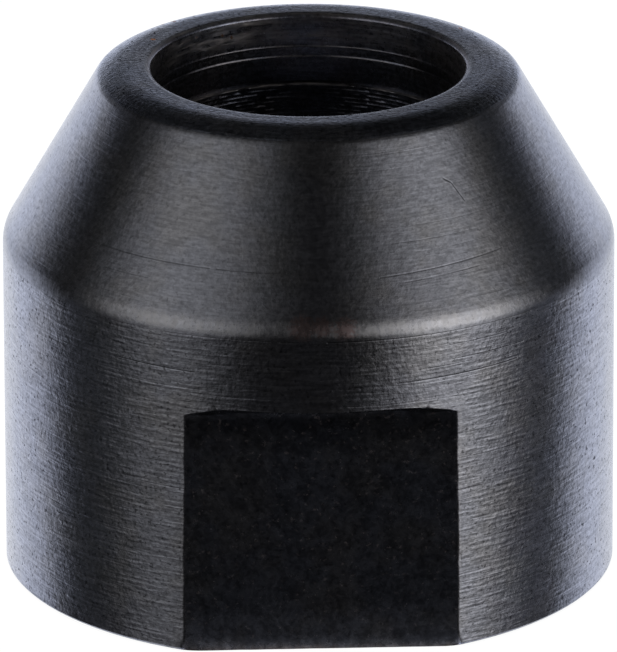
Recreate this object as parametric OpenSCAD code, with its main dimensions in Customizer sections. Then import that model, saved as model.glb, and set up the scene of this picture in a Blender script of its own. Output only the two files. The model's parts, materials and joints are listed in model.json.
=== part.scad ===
// Collet nut: one turned steel piece with a conical nose, a stepped bore right through and two spanner flats.
// The axis of the nut is Z. It stands on its base at z = 0 with the nose up, and the flats face -Y and +Y.
// All sizes are in millimetres and degrees.

/* [Body] */
// Outer diameter of the cylindrical body
body_d = 19; // [18:0.1:21]
// Height from the base to the nose face
height = 16.07; // [15.3:0.01:20]
// Diameter at which the nose cone would meet the nose face with a sharp edge
nose_d = 12.73; // [12:0.01:14]
// Angle between the nose cone and the axis
nose_angle = 30; // [25:1:40]
// Fillet between the nose cone and the nose face
rim_fillet = 1.3; // [0.2:0.1:1.5]
// Fillet between the cylinder and the nose cone
shoulder_fillet = 1.05; // [0.2:0.05:2]
// Edge break round the foot of the cylinder
base_chamfer = 0.1; // [0.05:0.05:0.6]

/* [Spanner flats] */
// Distance across the two flats
across_flats = 17; // [16:0.1:17.8]
// Height of the flats, from the base to the shelf above them
flat_h = 8; // [5:0.1:9]
// Corner radius that the milling cutter leaves between a flat and its shelf
cutter_r = 0.4; // [0.1:0.05:0.6]

/* [Nose bore] */
// Diameter of the counterbore behind the nose face
mouth_d = 9.75; // [9.6:0.05:10.2]
// Edge break round the mouth of the counterbore
mouth_chamfer = 0.2; // [0.02:0.02:0.3]
// Depth of the counterbore below the nose face
mouth_depth = 2.24; // [1:0.01:3]

/* [Collet seat] */
// Diameter of the guide land between the counterbore and the seat
land_d = 9.4; // [8.8:0.1:9.5]
// Angle between the conical seat and the axis
seat_angle = 30; // [25:1:45]
// Diameter of the conical seat at its wide end
seat_d = 12.4; // [11:0.1:13]

/* [Spindle thread] */
// Nominal diameter of the internal thread
thread_d = 14; // [13:0.5:14.5]
// Pitch of the internal thread
thread_pitch = 1; // [0.75:0.25:1.5]
// Length of the threaded hole from the base
thread_len = 8.4; // [6:0.1:9]
// Width of the run-out groove above the thread
relief_w = 1.6; // [1.2:0.1:2]
// How much wider the run-out groove is than the thread's nominal diameter
relief_extra_d = 0.4; // [0.1:0.1:0.8]
// How much wider the entry chamfer is than the thread's nominal diameter
entry_extra_d = 0.4; // [0.1:0.1:0.8]

/* [Hidden] */
// Height of the basic thread form left above the minor diameter, as a share of the pitch
thread_form_share = 0.54127;
// Distance by which a cut runs past the surface that it opens
overcut = 1;
// Distance by which a fillet's arc passes outside the edges that it blends, so that it crosses them cleanly
arc_overlap = 0.001;

body_r = body_d / 2;
nose_r = nose_d / 2;
shoulder_z = height - (body_r - nose_r) / tan(nose_angle);
flat_y = across_flats / 2;

mouth_r = mouth_d / 2;
mouth_floor = height - mouth_depth;

thread_r = thread_d / 2;
minor_r = thread_r - thread_form_share * thread_pitch;
relief_r = thread_r + relief_extra_d / 2;
relief_top = thread_len + relief_w;
entry_r = thread_r + entry_extra_d / 2;

land_r = land_d / 2;
seat_r = seat_d / 2;
seat_top = relief_top + (seat_r - land_r) / tan(seat_angle);

blackened_steel = [0.12, 0.12, 0.13];
$fn = 128;

// Vector of length 1 along v.
function unit(v) = v / norm(v);

// Closed outline through corner points, each given with the radius of its fillet, or 0 where it stays sharp.
// A filleted corner points outwards, and the sliver between it and the fillet's arc is taken off.
module filleted_outline(points, radii) {
    count = len(points);
    difference() {
        polygon(points);
        for (i = [0 : count - 1])
            if (radii[i] > 0)
                corner_sliver(points[(i + count - 1) % count], points[i], points[(i + 1) % count], radii[i]);
    }
}

// Sliver outside the fillet of one corner, between the points before and after it.
module corner_sliver(before, corner, after, fillet_r) {
    back = unit(before - corner);
    ahead = unit(after - corner);
    inward = unit(back + ahead);
    half = acos(back * ahead) / 2;
    edge_gap = fillet_r - arc_overlap;
    centre = corner + inward * edge_gap / sin(half);
    difference() {
        polygon([
            corner - inward * fillet_r,
            corner + back * edge_gap / tan(half),
            centre,
            corner + ahead * edge_gap / tan(half),
        ]);
        translate(centre) circle(r = fillet_r);
    }
}

// Half section of the outside: foot, cylinder, shoulder, nose cone and rim.
module outside_section() {
    filleted_outline(
        points = [
            [0, 0],
            [body_r - base_chamfer, 0],
            [body_r, base_chamfer],
            [body_r, shoulder_z],
            [nose_r, height],
            [0, height],
        ],
        radii = [0, 0, 0, shoulder_fillet, rim_fillet, 0]
    );
}

// Half section of the bore, from the mouth in the nose down to the thread's entry in the base.
module bore_section() {
    polygon([
        [0, height + overcut],
        [mouth_r + mouth_chamfer + overcut, height + overcut],
        [mouth_r, height - mouth_chamfer],
        [mouth_r, mouth_floor],
        [land_r, mouth_floor],
        [land_r, seat_top],
        [seat_r, relief_top],
        [relief_r, relief_top],
        [relief_r, thread_len + relief_r - minor_r],
        [minor_r, thread_len],
        [minor_r, entry_r - minor_r],
        [entry_r + overcut, -overcut],
        [0, -overcut],
    ]);
}

// Path of the milling cutter along one flat, on the +Y side.
module flat_cut() {
    rotate([90, 0, 90])
        linear_extrude(height = body_d + 2 * overcut, center = true)
            filleted_outline(
                points = [
                    [flat_y, -overcut],
                    [body_r + overcut, -overcut],
                    [body_r + overcut, flat_h],
                    [flat_y, flat_h],
                ],
                radii = [0, 0, 0, cutter_r]
            );
}

module collet_nut() {
    color(blackened_steel)
        difference() {
            rotate_extrude()
                difference() {
                    outside_section();
                    bore_section();
                }
            for (side = [0, 180])
                rotate(side) flat_cut();
        }
}

collet_nut();
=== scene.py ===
"""Looks of a collet nut: one turned and milled steel piece, blackened and lightly worn, on a pale floor.

Lengths in the classes below are in millimetres, and MM turns them into the metres of the scene.
The nut's axis is Z, its base stands on z = 0 and its spanner flats face -Y and +Y.
"""

import json
import logging
import math
from dataclasses import dataclass
from enum import Enum
from typing import ClassVar, Union

import bmesh
import bpy
from mathutils import Matrix, Vector, noise


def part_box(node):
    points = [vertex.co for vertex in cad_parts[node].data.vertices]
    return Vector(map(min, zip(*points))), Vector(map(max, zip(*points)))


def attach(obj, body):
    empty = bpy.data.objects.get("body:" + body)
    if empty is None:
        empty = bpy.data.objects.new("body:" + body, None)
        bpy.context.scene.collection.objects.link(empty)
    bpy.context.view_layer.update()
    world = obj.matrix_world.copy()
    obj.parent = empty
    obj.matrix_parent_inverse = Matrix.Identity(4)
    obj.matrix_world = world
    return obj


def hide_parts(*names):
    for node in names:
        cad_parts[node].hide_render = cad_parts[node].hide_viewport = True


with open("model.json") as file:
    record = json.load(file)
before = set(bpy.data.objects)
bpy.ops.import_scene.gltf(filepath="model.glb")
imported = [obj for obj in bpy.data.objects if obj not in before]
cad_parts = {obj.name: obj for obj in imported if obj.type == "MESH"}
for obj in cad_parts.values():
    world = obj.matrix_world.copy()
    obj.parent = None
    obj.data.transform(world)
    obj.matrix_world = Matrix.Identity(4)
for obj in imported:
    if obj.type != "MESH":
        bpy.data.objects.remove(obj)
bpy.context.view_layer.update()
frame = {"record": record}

MM = 0.001
MERGE_DIST = 0.0001 * MM
LOG = logging.getLogger("collet_nut")

Colour = tuple[float, float, float]
Socket = bpy.types.NodeSocket
Feed = Union[Socket, float, tuple]
WHITE = (1.0, 1.0, 1.0, 1.0)
BLACK = (0.0, 0.0, 0.0, 1.0)


class Zone(Enum):
    """Surfaces of the nut that carry a finish of their own, numbered by material slot."""

    CYLINDER = 0
    CONE = 1
    FACE = 2
    MILLED = 3
    BORE = 4
    THREAD = 5


@dataclass(frozen=True)
class Fade:
    """An eased change from one value to another.

    Attributes:
        start: Where the value leaves low.
        end: Where it reaches high.
        low: Value before start.
        high: Value past end.
    """

    start: float
    end: float
    low: float = 0.0
    high: float = 1.0

    def at(self, place: float) -> float:
        """Value at a place."""
        share = min(max((place - self.start) / (self.end - self.start), 0.0), 1.0)
        return self.low + (self.high - self.low) * share * share * (3.0 - 2.0 * share)


@dataclass(frozen=True)
class Patches:
    """Noise cut to patches with soft edges.

    Attributes:
        scale: Scale of the noise, per mm.
        detail: Octaves of the noise.
        rough: Strength of its finer octaves.
        start: Level of the noise at which a patch starts.
        end: Level at which it is full.
    """

    scale: float
    detail: float
    rough: float
    start: float
    end: float


class Graph:
    """Short ways to add and join shader nodes in one node tree."""

    def __init__(self, tree: bpy.types.NodeTree) -> None:
        """Keeps the node tree that the nodes go into."""
        self.tree = tree

    def feed(self, socket: Socket, value: Feed) -> None:
        """Joins a socket to another one, or sets its value.

        Args:
            socket: Input socket to fill.
            value: Output socket to join it to, or the plain value that it holds.
        """
        if isinstance(value, Socket):
            self.tree.links.new(value, socket)
        else:
            socket.default_value = value

    def add(self, kind: str, inputs: dict, **settings: object) -> bpy.types.Node:
        """Adds one node.

        Args:
            kind: Type name of the node.
            inputs: Values or sockets by input name or number.
            **settings: Properties of the node.

        Returns:
            The new node.
        """
        node = self.tree.nodes.new(kind)
        for name, value in settings.items():
            setattr(node, name, value)
        for key, value in inputs.items():
            self.feed(node.inputs[key], value)
        return node

    def math(self, operation: str, *values: Feed, clamp: bool = False) -> Socket:
        """Result of a Math node on one to three values."""
        node = self.add("ShaderNodeMath", dict(enumerate(values)), operation=operation, use_clamp=clamp)
        return node.outputs[0]

    def product(self, *values: Feed) -> Socket:
        """Product of two or more values.

        Args:
            *values: Values or sockets to multiply.

        Returns:
            Socket with the product.
        """
        total = values[0]
        for value in values[1:]:
            total = self.math("MULTIPLY", total, value)
        return total

    def vector(self, operation: str, *values: Feed) -> Socket:
        """Vector result of a Vector Math node on two vectors."""
        node = self.add("ShaderNodeVectorMath", dict(enumerate(values)), operation=operation)
        return node.outputs["Vector"]

    def measure(self, operation: str, *values: Feed) -> Socket:
        """Length, distance or dot product, from a Vector Math node on one or two vectors."""
        node = self.add("ShaderNodeVectorMath", dict(enumerate(values)), operation=operation)
        return node.outputs["Value"]

    def scaled(self, vector: Feed, factor: Feed) -> Socket:
        """Vector or colour times a factor."""
        node = self.add("ShaderNodeVectorMath", {0: vector, "Scale": factor}, operation="SCALE")
        return node.outputs["Vector"]

    def joined(self, *parts: Feed) -> Socket:
        """Vector made of its parts along X, Y and Z."""
        return self.add("ShaderNodeCombineXYZ", dict(enumerate(parts))).outputs[0]

    def ramp(self, value: Feed, fade: Fade) -> Socket:
        """Value of a fade at the place that a socket gives.

        Args:
            value: Place on the fade.
            fade: The fade.

        Returns:
            Socket with the eased value.
        """
        limits = {"From Min": fade.start, "From Max": fade.end, "To Min": fade.low, "To Max": fade.high}
        node = self.add("ShaderNodeMapRange", {"Value": value, **limits}, interpolation_type="SMOOTHSTEP")
        return node.outputs["Result"]

    def noise(self, vector: Socket, scale: float, detail: float, rough: float = 0.5) -> Socket:
        """Grey noise, about 0 to 1, on a vector."""
        inputs = {"Vector": vector, "Scale": scale, "Detail": detail, "Roughness": rough}
        return self.add("ShaderNodeTexNoise", inputs, noise_dimensions="3D").outputs[0]

    def patches(self, vector: Socket, kind: Patches, low: float = 0.0, high: float = 1.0) -> Socket:
        """Value that is low outside the patches and high inside them."""
        grey = self.noise(vector, kind.scale, kind.detail, kind.rough)
        return self.ramp(grey, Fade(kind.start, kind.end, low, high))

    def blend(self, share: Feed, first: Feed, second: Feed) -> Socket:
        """Colour between two colours, the first at share 0 and the second at share 1.

        Args:
            share: Share of the second colour.
            first: One colour.
            second: The other colour.

        Returns:
            Socket with the blended colour.
        """
        node = self.add("ShaderNodeMix", {}, data_type="RGBA", blend_type="MIX")
        self.feed(node.inputs["Factor"], share)
        self.feed(node.inputs[6], first)
        self.feed(node.inputs[7], second)
        return node.outputs[2]


@dataclass(frozen=True)
class Blemish:
    """A small spot on the steel, such as rust or a bright nick.

    Attributes:
        place: Middle of the spot, in mm.
        radius: How far the spot reaches, in mm.
        colour: Colour of the spot.
        metal: Share of bare metal in the spot, 0 for rust and 1 for a nick.
    """

    place: tuple[float, float, float]
    radius: float
    colour: Colour
    metal: float = 0.0


@dataclass(frozen=True)
class Scratch:
    """A single scratch, straight on the unrolled wall.

    Attributes:
        start: Azimuth in degrees from the front towards +X, and height in mm, of one end.
        end: Azimuth and height of the other end.
        width: Half width, in mm.
        depth: Depth, in mm.
        dark: How dark it is, 0 to 1.
    """

    start: tuple[float, float]
    end: tuple[float, float]
    width: float
    depth: float
    dark: float = 0.3


@dataclass(frozen=True)
class SteelFinish:
    """How one zone of the blackened steel looks.

    Attributes:
        name: Name of the material.
        sheen: Colour that the steel reflects, seen straight on.
        tint: Colour of the patches where the oxide is thin or stained.
        tint_share: How far the stained patches reach their colour.
        roughness: Roughness of the surface between its marks.
        scatter: Share of the light that the oxide scatters rather than mirrors.
        feed: Distance between the tool's feed marks, in mm.
        feed_depth: Depth of the feed marks, in mm.
        streak_length: Length of the fine streaks, in mm.
        streak_width: Width of the fine streaks, in mm.
        streak_depth: Depth of the fine streaks, in mm.
        score_depth: Depth of the few long scores, in mm.
        grain_size: Size of the grains of the oxide, in mm.
        grain_depth: Height of the grains, in mm.
        mottle_depth: Height of the wider mottles, in mm.
        pits: How much painted shade darkens the pits, 0 to 1.
        specks: How bare the fine specks are, 0 to 1.
        swing: Share by which marks and grains vary the sheen.
        worn_and_highlight: Colour of the steel where an edge is rubbed bare, and of the painted highlights
            that share the wear's mask.
        worn_rough: How much rougher the rubbed steel is.
        worn_grain: How closely the rubbed steel is broken up along X, Y and Z, per mm.
        worn_least: Share of the rubbed steel that is left where it is broken up.
        blemishes: Single spots.
        scratches: Single scratches.
    """

    name: str
    sheen: Colour = (0.2, 0.2, 0.213)
    tint: Colour = (0.2, 0.19, 0.18)
    tint_share: float = 0.5
    roughness: float = 0.17
    scatter: float = 0.0
    feed: float = 0.17
    feed_depth: float = 0.0
    streak_length: float = 0.65
    streak_width: float = 0.05
    streak_depth: float = 0.0
    score_depth: float = 0.0
    grain_size: float = 0.085
    grain_depth: float = 0.006
    mottle_depth: float = 0.0
    pits: float = 0.0
    specks: float = 0.0
    swing: float = 0.25
    worn_and_highlight: Colour = (0.36, 0.345, 0.335)
    worn_rough: float = 0.26
    worn_grain: tuple[float, float, float] = (6.0, 6.0, 1.2)
    worn_least: float = 0.35
    blemishes: tuple[Blemish, ...] = ()
    scratches: tuple[Scratch, ...] = ()


class BlackenedSteel:
    """Material of one zone, made from its finish."""

    UNROLL_RADIUS: ClassVar = 9.0
    STAINS: ClassVar = Patches(0.55, 3.0, 0.6, 0.4, 0.66)
    PITS: ClassVar = Patches(10.0, 1.0, 0.5, 0.63, 0.71)
    SPECKS: ClassVar = Patches(6.0, 2.0, 0.6, 0.58, 0.74)
    BREAKS: ClassVar = Patches(1.0, 4.0, 0.6, 0.3, 0.7)
    SCORES: ClassVar = Fade(0.66, 0.72)
    SCORE_LENGTH: ClassVar = 9.0
    SCORE_WIDTH: ClassVar = 0.12
    DASHES: ClassVar = Fade(0.42, 0.6)
    DASH_LENGTH: ClassVar = 0.9
    DASH_PITCHES: ClassVar = 1.2
    WANDER_LENGTH: ClassVar = 2.5
    WANDER_PITCHES: ClassVar = 4.0
    WANDER: ClassVar = 9.0
    MARK_LENGTH: ClassVar = 1.4
    MARK_WIDTH: ClassVar = 1.6
    MARK_LEVELS: ClassVar = (0.72, 1.28)
    SPOT_EDGE: ClassVar = Fade(0.2, 0.42)
    SPOT_GRAIN: ClassVar = 11.0
    MOTTLE_GRAIN: ClassVar = 0.35
    SHEEN_GRAIN: ClassVar = 0.7
    ROUGH_GRAIN: ClassVar = 0.6
    ROUGH_LEVELS: ClassVar = (0.25, 0.75)
    ROUGH_SWING: ClassVar = 0.04

    def __init__(self, finish: SteelFinish) -> None:
        """Starts the material and the coordinates that its patterns follow.

        Args:
            finish: How the zone looks.
        """
        self.finish = finish
        self.material = bpy.data.materials.new(finish.name)
        self.material.use_nodes = True
        self.graph = Graph(self.material.node_tree)
        self.shader = self.material.node_tree.nodes["Principled BSDF"]
        self.place_coordinates()
        self.scratches = [self.scratch_share(scratch) for scratch in finish.scratches]

    def place_coordinates(self) -> None:
        """Keeps the place in mm, a ring coordinate that runs across the tool marks, and the unrolled wall."""
        graph = self.graph
        place = graph.add("ShaderNodeTexCoord", {}).outputs["Object"]
        self.place = graph.scaled(place, 1.0 / MM)
        x, y, z = graph.add("ShaderNodeSeparateXYZ", {0: self.place}).outputs
        radius = graph.measure("LENGTH", graph.joined(x, y))
        self.across = graph.math("SUBTRACT", z, radius)
        self.ring = graph.joined(x, y, self.across)
        turn = graph.math("ARCTAN2", x, graph.math("MULTIPLY", y, -1.0))
        self.unrolled = graph.joined(graph.math("MULTIPLY", turn, self.UNROLL_RADIUS), z)

    def kept(self, name: str) -> Socket:
        """Value that the mesh keeps under a name."""
        return self.graph.add("ShaderNodeAttribute", {}, attribute_name=name).outputs["Fac"]

    def streaks(self, along: float, across: float, detail: float = 3.0) -> Socket:
        """Noise stretched along the tool marks.

        Args:
            along: Length of a streak round the nut, in mm.
            across: Width of a streak, in mm.
            detail: Octaves of the noise.

        Returns:
            Socket with the noise, about 0 to 1.
        """
        squeeze = (1.0 / along, 1.0 / along, 1.0 / across)
        return self.graph.noise(self.graph.vector("MULTIPLY", self.ring, squeeze), 1.0, detail)

    def grains(self, share: float, detail: float = 3.0, rough: float = 0.6) -> Socket:
        """Noise with the size of the oxide's grains, or of a share of their number per mm."""
        return self.graph.noise(self.place, share / self.finish.grain_size, detail, rough)

    def mottles(self) -> Socket:
        """Height of the mottles, about 0 to 1."""
        return self.grains(self.MOTTLE_GRAIN, 1.0, 0.5)

    def fine_streaks(self) -> Socket:
        """Height of the fine streaks, about 0 to 1."""
        return self.streaks(self.finish.streak_length, self.finish.streak_width)

    def scores(self) -> Socket:
        """Share of the few long scores at a place, 0 to 1."""
        return self.graph.ramp(self.streaks(self.SCORE_LENGTH, self.SCORE_WIDTH, 1.0), self.SCORES)

    def feed_marks(self) -> Socket:
        """Height of the feed marks, 0 to 1, wavering and broken into dashes.

        Returns:
            Socket with the height.
        """
        graph, pitch = self.graph, self.finish.feed
        slow = self.streaks(self.WANDER_LENGTH, pitch * self.WANDER_PITCHES, 2.0)
        wander = graph.math("MULTIPLY", slow, self.WANDER)
        phase = graph.math("MULTIPLY_ADD", self.across, 2.0 * math.pi / pitch, wander)
        wave = graph.math("MULTIPLY_ADD", graph.math("SINE", phase), 0.5, 0.5)
        dashes = graph.ramp(self.streaks(self.DASH_LENGTH, pitch * self.DASH_PITCHES), self.DASHES)
        return graph.math("MULTIPLY", wave, dashes)

    def scratch_share(self, scratch: Scratch) -> Socket:
        """Share of one scratch at a place, 1 along its middle and 0 outside it.

        Args:
            scratch: The scratch.

        Returns:
            Socket with the share.
        """
        graph = self.graph
        start, end = (
            Vector((math.radians(turn) * self.UNROLL_RADIUS, height, 0.0))
            for turn, height in (scratch.start, scratch.end)
        )
        run = end - start
        offset = graph.vector("SUBTRACT", self.unrolled, start)
        share = graph.measure("DOT_PRODUCT", offset, run / run.length_squared)
        nearest = graph.scaled(run, graph.math("ADD", share, 0.0, clamp=True))
        gap = graph.measure("DISTANCE", offset, nearest)
        return graph.ramp(gap, Fade(0.0, scratch.width, 1.0, 0.0))

    def relief(self) -> Socket:
        """Height of the surface's fine relief, in mm.

        Returns:
            Socket with the height.
        """
        finish, graph = self.finish, self.graph
        total = graph.math("MULTIPLY", self.grains(1.0), finish.grain_depth)
        layers = (
            (self.mottles, finish.mottle_depth),
            (self.fine_streaks, finish.streak_depth),
            (self.feed_marks, finish.feed_depth),
            (self.scores, -finish.score_depth),
        )
        for layer, depth in layers:
            if depth:
                total = graph.math("MULTIPLY_ADD", layer(), depth, total)
        for scratch, share in zip(finish.scratches, self.scratches):
            total = graph.math("MULTIPLY_ADD", share, -scratch.depth, total)
        return total

    def sheen(self) -> Socket:
        """Colour of the oxide, varied by its marks, grains and stains, and scaled by the painted light and
        shade kept on the mesh.

        Returns:
            Socket with the colour.
        """
        finish, graph = self.finish, self.graph
        stain = graph.patches(self.place, self.STAINS, 0.0, finish.tint_share)
        colour = graph.blend(stain, (*finish.sheen, 1.0), (*finish.tint, 1.0))
        length, width = finish.streak_length * self.MARK_LENGTH, finish.streak_width * self.MARK_WIDTH
        mixed = graph.math("ADD", self.grains(self.SHEEN_GRAIN), self.streaks(length, width))
        shade = graph.ramp(mixed, Fade(*self.MARK_LEVELS, 1.0 - finish.swing, 1.0 + finish.swing))
        # The kept shade paints light and shade onto the sheen.
        return graph.scaled(colour, graph.math("MULTIPLY", shade, self.kept("shade")))

    def dark_marks(self) -> Socket:
        """Share of painted shade in the pits, and of the darker scratches, at a place, 0 to 1.

        Returns:
            Socket with the share.
        """
        graph = self.graph
        marks = graph.patches(self.place, self.PITS, 0.0, self.finish.pits)
        for scratch, share in zip(self.finish.scratches, self.scratches):
            marks = graph.math("MAXIMUM", marks, graph.math("MULTIPLY", share, scratch.dark))
        return marks

    def worn_and_highlight_share(self) -> Socket:
        """Share of bare steel and of painted highlights, from the wear and highlights kept on the mesh,
        broken into fine streaks and specks.

        Returns:
            Socket with the share, 0 to 1.
        """
        finish, graph = self.finish, self.graph
        squeezed = graph.vector("MULTIPLY", self.place, finish.worn_grain)
        broken = graph.patches(squeezed, self.BREAKS, finish.worn_least)
        worn_and_highlight = graph.math("MULTIPLY", self.kept("wear_and_highlight"), broken)
        if finish.specks:
            specks = graph.patches(self.place, self.SPECKS, 0.0, finish.specks)
            worn_and_highlight = graph.math("MAXIMUM", worn_and_highlight, specks)
        return worn_and_highlight

    def spotted(self, colour: Socket) -> tuple[Socket, Feed]:
        """Lays the single spots on the steel.

        Args:
            colour: Colour of the steel without them.

        Returns:
            Colour of the steel with its spots, and the share of metal at a place.
        """
        finish, graph = self.finish, self.graph
        metal = 1.0 - finish.scatter
        ragged = graph.noise(self.place, self.SPOT_GRAIN, 3.0) if finish.blemishes else None
        for spot in finish.blemishes:
            gap = graph.measure("DISTANCE", self.place, spot.place)
            inside = graph.ramp(gap, Fade(0.0, spot.radius, 1.0, 0.0))
            share = graph.ramp(graph.math("MULTIPLY", inside, ragged), self.SPOT_EDGE)
            colour = graph.blend(share, colour, (*spot.colour, 1.0))
            if spot.metal < 1.0:
                lost = graph.math("MULTIPLY", share, 1.0 - spot.metal)
                metal = graph.math("SUBTRACT", metal, lost, clamp=True)
        return colour, metal

    def build(self) -> bpy.types.Material:
        """Joins sheen, wear with its painted highlights, spots and relief to the shader.

        Returns:
            The finished material.
        """
        finish, graph, inputs = self.finish, self.graph, self.shader.inputs
        worn_and_highlight = self.worn_and_highlight_share()
        colour = graph.blend(worn_and_highlight, self.sheen(), (*finish.worn_and_highlight, 1.0))
        # Pits get painted shade: a darker colour and a weaker reflection.
        if finish.pits:
            dark = self.dark_marks()
            colour = graph.blend(dark, colour, BLACK)
            graph.feed(inputs["Specular Tint"], graph.math("SUBTRACT", 1.0, dark))
        colour, metal = self.spotted(colour)
        least, most = finish.roughness - self.ROUGH_SWING, finish.roughness + self.ROUGH_SWING
        uneven = self.grains(self.ROUGH_GRAIN, 2.0, 0.5)
        rough = graph.ramp(uneven, Fade(*self.ROUGH_LEVELS, least, most))
        bump = graph.add("ShaderNodeBump", {"Strength": 1.0, "Distance": MM, "Height": self.relief()})
        graph.feed(inputs["Base Color"], colour)
        graph.feed(inputs["Metallic"], metal)
        graph.feed(inputs["Specular IOR Level"], 0.0)
        graph.feed(inputs["Roughness"], graph.math("MULTIPLY_ADD", worn_and_highlight, finish.worn_rough, rough))
        graph.feed(inputs["Normal"], bump.outputs[0])
        return self.material


def spin(
    mesh: bmesh.types.BMesh,
    strip: list,
    degrees: float,
    steps: int,
    axis: tuple = (0.0, 0.0, 1.0),
    centre: tuple = (0.0, 0.0, 0.0),
    rise: float = 0.0,
) -> list:
    """Spins vertices and edges round an axis.

    Args:
        mesh: Mesh that holds them.
        strip: Vertices and edges to spin.
        degrees: Angle that they turn through.
        steps: Number of steps.
        axis: Direction of the axis.
        centre: A point of the axis, in metres.
        rise: Rise along Z with each step, in metres.

    Returns:
        The vertices and edges at the far end.
    """
    made = bmesh.ops.spin(
        mesh,
        geom=strip,
        cent=centre,
        axis=axis,
        dvec=(0.0, 0.0, rise),
        angle=math.radians(degrees),
        steps=steps,
    )
    return [item for item in made["geom_last"] if not isinstance(item, bmesh.types.BMFace)]


def finished_mesh(name: str, mesh: bmesh.types.BMesh) -> bpy.types.Mesh:
    """Turns a bmesh into mesh data with a name, and frees it.

    Args:
        name: Name of the mesh data.
        mesh: Mesh to turn into data.

    Returns:
        The mesh data.
    """
    data = bpy.data.meshes.new(name)
    mesh.to_mesh(data)
    mesh.free()
    return data


def add_object(name: str, data: bpy.types.ID) -> bpy.types.Object:
    """Adds an object with its data to the scene.

    Args:
        name: Name of the object.
        data: Mesh, camera or lamp that it holds.

    Returns:
        The new object.
    """
    item = bpy.data.objects.new(name, data)
    bpy.context.scene.collection.objects.link(item)
    return item


@dataclass
class SectionPath:
    """A half section drawn point by point in the plane x = 0, on the -Y side.

    Attributes:
        mesh: Mesh that the section is drawn in.
        tip: Last point drawn.
    """

    mesh: bmesh.types.BMesh
    tip: Union[bmesh.types.BMVert, None] = None

    def start(self, radius: float, height: float) -> None:
        """Puts the first point, in mm."""
        self.tip = self.mesh.verts.new((0.0, -radius * MM, height * MM))

    def line(self, radius: float, height: float, steps: int = 1) -> None:
        """Draws a straight stretch.

        Args:
            radius: Distance of its end from the axis, in mm.
            height: Height of its end, in mm.
            steps: Number of edges.
        """
        edge = (Vector((0.0, -radius * MM, height * MM)) - self.tip.co) / steps
        for _ in range(steps):
            made = bmesh.ops.extrude_vert_indiv(self.mesh, verts=[self.tip])
            bmesh.ops.translate(self.mesh, verts=made["verts"], vec=edge)
            self.tip = made["verts"][0]

    def arc(self, centre_radius: float, centre_height: float, turn: float, steps: int) -> None:
        """Draws an arc from the tip.

        Args:
            centre_radius: Distance of its centre from the axis, in mm.
            centre_height: Height of its centre, in mm.
            turn: Angle that it turns through, clockwise with the axis on the left, in degrees.
            steps: Number of edges.
        """
        centre = (0.0, -centre_radius * MM, centre_height * MM)
        made = spin(self.mesh, [self.tip], turn, steps, (1.0, 0.0, 0.0), centre)
        self.tip = next(item for item in made if isinstance(item, bmesh.types.BMVert))


def soft_least(first: float, second: float, rounding: float) -> float:
    """Lesser of two values, rounded off where they meet.

    Args:
        first: One value.
        second: The other value.
        rounding: Difference of the values at which the rounding starts.

    Returns:
        The rounded lesser value.
    """
    share = min(max(0.5 + 0.5 * (second - first) / rounding, 0.0), 1.0)
    return second + (first - second) * share - rounding * share * (1.0 - share)


def near(gap: float, reach: float) -> float:
    """Share that falls off with distance, 1 at no gap and about a third at the reach."""
    return math.exp(-((gap / reach) ** 2))


def noise_at(place: Vector, along: float, up: float) -> float:
    """Noise at a place, about -1 to 1, with one scale along X and Y and another along Z, per mm."""
    return noise.noise(Vector((place.x * along, place.y * along, place.z * up)))


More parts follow.
